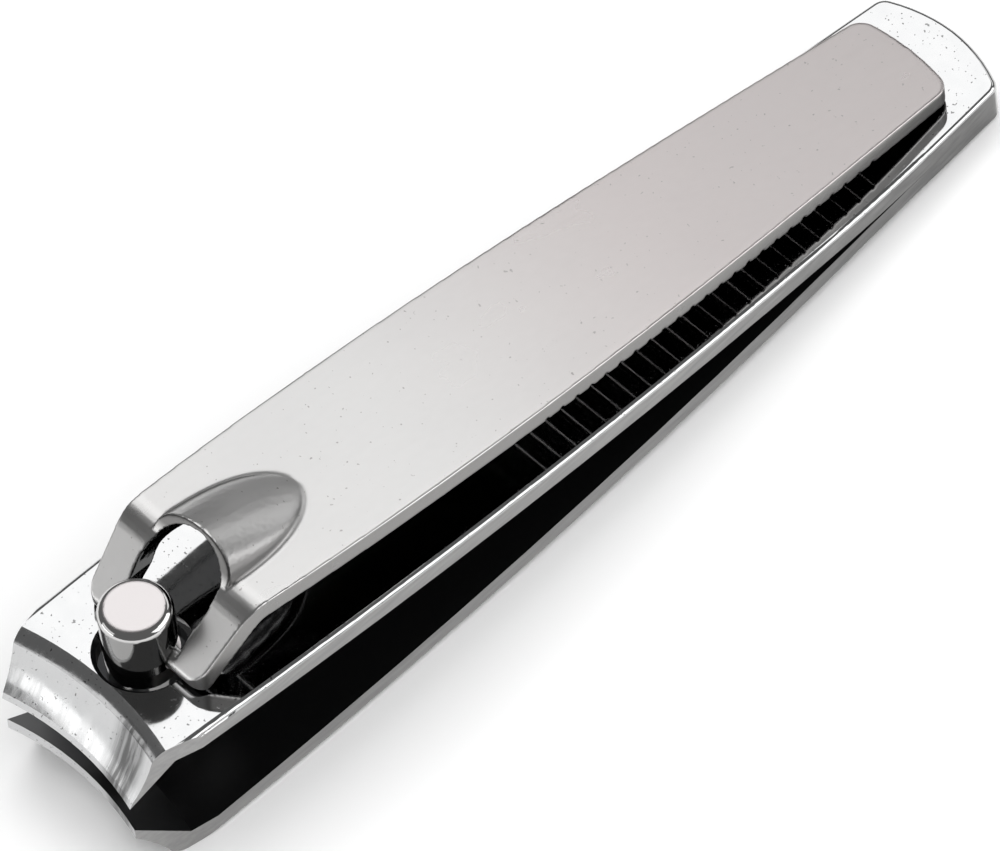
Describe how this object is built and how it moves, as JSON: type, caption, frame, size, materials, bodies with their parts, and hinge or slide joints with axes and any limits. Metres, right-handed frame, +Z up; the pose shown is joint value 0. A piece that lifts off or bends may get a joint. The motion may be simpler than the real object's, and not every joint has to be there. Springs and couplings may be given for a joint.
{
  "type": "nail clipper",
  "caption": "Lever nail clipper in its stored position: two bowed spring arms with hollow-ground jaws, a notched pin and a flip-over lever with a file on its underside.",
  "frame": {"origin": "centre of the bounding box on the ground, the clipper lying on its lower arm in the stored position", "axes": "+Y from the jaws to the tail, +Z up, X across the arms"},
  "size_m": [0.0124, 0.062, 0.0136],
  "materials": {
    "polished_arm": "mirror-polished stainless steel, ground jaws",
    "rivet": "ground flush and polished",
    "pin": "polished turned pin with a lightly brushed top",
    "satin_lever": "satin stainless steel"
  },
  "bodies": {
    "lower_arm": {"lower_arm": "polished_arm", "rear_rivet": "rivet"},
    "upper_arm": {"upper_arm": "polished_arm"},
    "pin": {"pin": "pin"},
    "lever": {"lever": "satin_lever"}
  },
  "joints": [
    {"name": "upper_arm_flex", "type": "hinge", "parent": "lower_arm", "child": "upper_arm", "pos_m": [0, 0.02301, 0.00158], "axis": [1, 0, 0], "range_deg": [0, 1.85], "stiffness_Nm_per_rad": 12},
    {"name": "pin_spin", "type": "hinge", "parent": "lower_arm", "child": "pin", "pos_m": [0, -0.02544, 0.00395], "axis": [0, 0.0836, 0.9965], "continuous": true},
    {"name": "lever_tilt", "type": "hinge", "parent": "pin", "child": "lever", "pos_m": [0, -0.02446, 0.00911], "axis": [1, 0, 0], "range_deg": [0, 135]}
  ]
}
